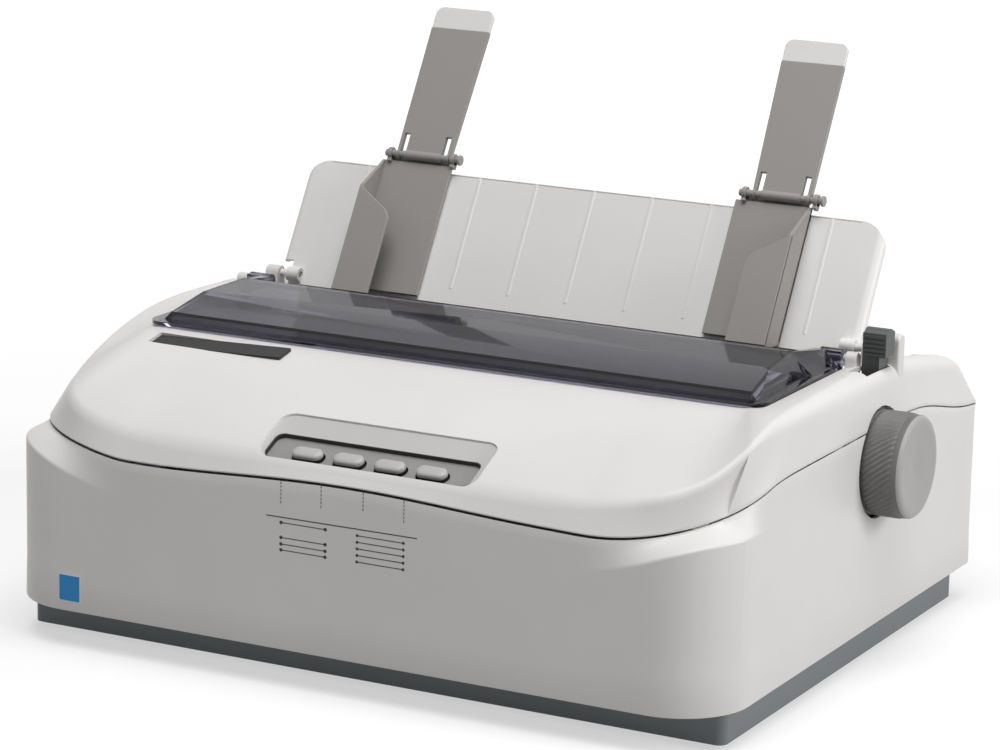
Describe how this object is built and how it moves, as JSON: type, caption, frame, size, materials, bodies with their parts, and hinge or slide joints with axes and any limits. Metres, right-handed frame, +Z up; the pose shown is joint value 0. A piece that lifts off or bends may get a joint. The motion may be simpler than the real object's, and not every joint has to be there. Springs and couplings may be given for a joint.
{
  "type": "dot matrix printer",
  "caption": "Desktop impact printer with smoked top cover, upright sheet guide with folding arms, side paper knob and front buttons.",
  "frame": {"origin": "on the ground under the centre of the case, between the rubber feet; the paper knob that stands out at the right is not counted", "axes": "+X to the operator's right, towards the paper knob; +Y to the rear; +Z up"},
  "size_m": [0.4358, 0.3433, 0.3047],
  "materials": {
    "case_plastic": "fine texture",
    "base_plastic": "fine texture",
    "guide_grey": "fine texture",
    "panel_grey": "satin",
    "knob_grey": "knurled",
    "lever_dark": "ribbed",
    "smoked_clear": "polished, tinted",
    "platen_rubber": "ground",
    "foot_rubber": "matte",
    "shaft_steel": "ground",
    "frame_steel": "zinc plated sheet",
    "bronze": "sintered",
    "gear_plastic": "moulded",
    "black_plastic": "fine texture",
    "head_alloy": "blackened",
    "belt_rubber": "toothed",
    "ribbon_fabric": "inked",
    "board_green": "solder mask",
    "motor_steel": "plated",
    "core_steel": "laminated",
    "plate_black": "printed film",
    "label_blue": "printed film"
  },
  "bodies": {
    "case": {"base_pan": "base_plastic", "feet": "foot_rubber", "lower_case": "case_plastic", "upper_case": "case_plastic", "control_panel": "panel_grey", "name_plate": "plate_black", "front_label": "label_blue", "platen_bushes": "bronze", "tractor_rod": "shaft_steel", "feed_motor": "motor_steel", "paper_chute": "frame_steel", "side_frame_left": "frame_steel", "side_frame_right": "frame_steel", "frame_base": "frame_steel", "guide_rod": "shaft_steel", "drive_belt": "belt_rubber", "carriage_motor": "motor_steel", "ribbon_cartridge": "black_plastic", "ribbon": "ribbon_fabric", "circuit_boards": "board_green", "transformer": "core_steel", "power_inlet": "black_plastic", "switch_frame": "black_plastic", "rear_ports": "black_plastic", "screws": "shaft_steel"},
    "platen": {"platen_roller": "platen_rubber", "platen_shaft": "shaft_steel", "platen_gear": "gear_plastic", "platen_knob": "knob_grey"},
    "tractor_idler_body": {"tractor_idler": "gear_plastic"},
    "tractor_drive": {"tractor_shaft": "shaft_steel", "tractor_gear": "gear_plastic"},
    "feed_idler_body": {"feed_idler": "gear_plastic"},
    "feed_pinion_body": {"feed_pinion": "shaft_steel"},
    "pinch": {"pinch_rollers": "platen_rubber", "pinch_shaft": "shaft_steel"},
    "carriage_body": {"carriage": "black_plastic", "print_head": "head_alloy"},
    "drive_pulley_body": {"drive_pulley": "shaft_steel"},
    "idler_pulley_body": {"idler_pulley": "gear_plastic"},
    "ribbon_knob_body": {"ribbon_knob": "guide_grey"},
    "cover": {"smoked_cover": "smoked_clear"},
    "guide": {"sheet_guide": "case_plastic"},
    "left_guide": {"left_edge_guide": "guide_grey"},
    "right_guide": {"right_edge_guide": "guide_grey"},
    "left_arm_body": {"left_arm": "guide_grey"},
    "right_arm_body": {"right_arm": "guide_grey"},
    "lever": {"paper_lever": "lever_dark"},
    "key_1": {"button_1": "panel_grey"},
    "key_2": {"button_2": "panel_grey"},
    "key_3": {"button_3": "panel_grey"},
    "key_4": {"button_4": "panel_grey"},
    "left_tractor_body": {"left_tractor": "black_plastic", "left_pin_belt": "belt_rubber"},
    "right_tractor_body": {"right_tractor": "black_plastic", "right_pin_belt": "belt_rubber"},
    "left_tractor_lid": {"left_tractor_cover": "black_plastic"},
    "right_tractor_lid": {"right_tractor_cover": "black_plastic"},
    "rocker": {"power_switch": "black_plastic"}
  },
  "joints": [
    {"name": "platen_spin", "type": "hinge", "parent": "case", "child": "platen", "pos_m": [0, 0.029, 0.108], "axis": [1, 0, 0], "continuous": true},
    {"name": "tractor_idler_spin", "type": "hinge", "parent": "case", "child": "tractor_idler_body", "pos_m": [-0.173, 0.069, 0.108], "axis": [1, 0, 0], "continuous": true},
    {"name": "tractor_shaft_spin", "type": "hinge", "parent": "case", "child": "tractor_drive", "pos_m": [0, 0.099, 0.108], "axis": [1, 0, 0], "continuous": true},
    {"name": "feed_idler_spin", "type": "hinge", "parent": "case", "child": "feed_idler_body", "pos_m": [-0.173, 0.049, 0.07687], "axis": [1, 0, 0], "continuous": true},
    {"name": "feed_pinion_spin", "type": "hinge", "parent": "case", "child": "feed_pinion_body", "pos_m": [-0.173, 0.05, 0.0559], "axis": [1, 0, 0], "continuous": true},
    {"name": "pinch_spin", "type": "hinge", "parent": "case", "child": "pinch", "pos_m": [0, 0.01833, 0.08951], "axis": [1, 0, 0], "continuous": true},
    {"name": "carriage_slide", "type": "slide", "parent": "case", "child": "carriage_body", "axis": [1, 0, 0], "range_m": [0, 0.208]},
    {"name": "drive_pulley_spin", "type": "hinge", "parent": "case", "child": "drive_pulley_body", "pos_m": [0.14, -0.0465, 0.069], "axis": [0, 0, 1], "range_deg": [-1800, 10]},
    {"name": "idler_pulley_spin", "type": "hinge", "parent": "case", "child": "idler_pulley_body", "pos_m": [-0.14, -0.0465, 0.069], "axis": [0, 0, 1], "range_deg": [-1800, 10]},
    {"name": "ribbon_knob_spin", "type": "hinge", "parent": "case", "child": "ribbon_knob_body", "pos_m": [-0.12, -0.055, 0.115], "axis": [0, 0, 1], "continuous": true},
    {"name": "cover_hinge", "type": "hinge", "parent": "case", "child": "cover", "pos_m": [0, 0.04, 0.158], "axis": [-1, 0, 0], "range_deg": [0, 90]},
    {"name": "sheet_guide_hinge", "type": "hinge", "parent": "case", "child": "guide", "pos_m": [0, 0.07, 0.157], "axis": [-1, 0, 0], "range_deg": [0, 60]},
    {"name": "left_guide_slide", "type": "slide", "parent": "guide", "child": "left_guide", "axis": [1, 0, 0], "range_m": [-0.02, 0.06]},
    {"name": "right_guide_slide", "type": "slide", "parent": "guide", "child": "right_guide", "axis": [1, 0, 0], "range_m": [-0.1, 0.025]},
    {"name": "left_arm_fold", "type": "hinge", "parent": "left_guide", "child": "left_arm_body", "pos_m": [-0.1079, 0.10763, 0.22535], "axis": [1, 0, 0], "range_deg": [0, 140]},
    {"name": "right_arm_fold", "type": "hinge", "parent": "right_guide", "child": "right_arm_body", "pos_m": [0.1125, 0.10763, 0.22535], "axis": [1, 0, 0], "range_deg": [0, 140]},
    {"name": "paper_lever_tilt", "type": "hinge", "parent": "case", "child": "lever", "pos_m": [0.195, 0.045, 0.1], "axis": [1, 0, 0], "range_deg": [0, 15]},
    {"name": "button_1_press", "type": "slide", "parent": "case", "child": "key_1", "axis": [0, 0.4305, -0.9026], "range_m": [0, 0.001], "stiffness_N_per_m": 600},
    {"name": "button_2_press", "type": "slide", "parent": "case", "child": "key_2", "axis": [0, 0.4305, -0.9026], "range_m": [0, 0.001], "stiffness_N_per_m": 600},
    {"name": "button_3_press", "type": "slide", "parent": "case", "child": "key_3", "axis": [0, 0.4305, -0.9026], "range_m": [0, 0.001], "stiffness_N_per_m": 600},
    {"name": "button_4_press", "type": "slide", "parent": "case", "child": "key_4", "axis": [0, 0.4305, -0.9026], "range_m": [0, 0.001], "stiffness_N_per_m": 600},
    {"name": "left_tractor_slide", "type": "slide", "parent": "case", "child": "left_tractor_body", "axis": [1, 0, 0], "range_m": [-0.012, 0.05]},
    {"name": "right_tractor_slide", "type": "slide", "parent": "case", "child": "right_tractor_body", "axis": [1, 0, 0], "range_m": [-0.07, 0.012]},
    {"name": "left_tractor_lid_hinge", "type": "hinge", "parent": "left_tractor_body", "child": "left_tractor_lid", "pos_m": [-0.131, 0.111, 0.122], "axis": [0, -1, 0], "range_deg": [0, 100]},
    {"name": "right_tractor_lid_hinge", "type": "hinge", "parent": "right_tractor_body", "child": "right_tractor_lid", "pos_m": [0.131, 0.111, 0.122], "axis": [0, 1, 0], "range_deg": [0, 100]},
    {"name": "power_switch_rock", "type": "hinge", "parent": "case", "child": "rocker", "pos_m": [-0.112, 0.166, 0.062], "axis": [0, 0, -1], "range_deg": [0, 14]}
  ],
  "couplings": [
    {"joint": "tractor_idler_spin", "follows": "platen_spin", "ratio": -1.2222},
    {"joint": "tractor_shaft_spin", "follows": "platen_spin", "ratio": 1.8333},
    {"joint": "feed_idler_spin", "follows": "platen_spin", "ratio": -1.4667},
    {"joint": "feed_pinion_spin", "follows": "platen_spin", "ratio": 3.6667},
    {"joint": "pinch_spin", "follows": "platen_spin", "ratio": -3.2},
    {"joint": "drive_pulley_spin", "follows": "carriage_slide", "rad_per_m": -149.25},
    {"joint": "idler_pulley_spin", "follows": "carriage_slide", "rad_per_m": -149.25}
  ]
}
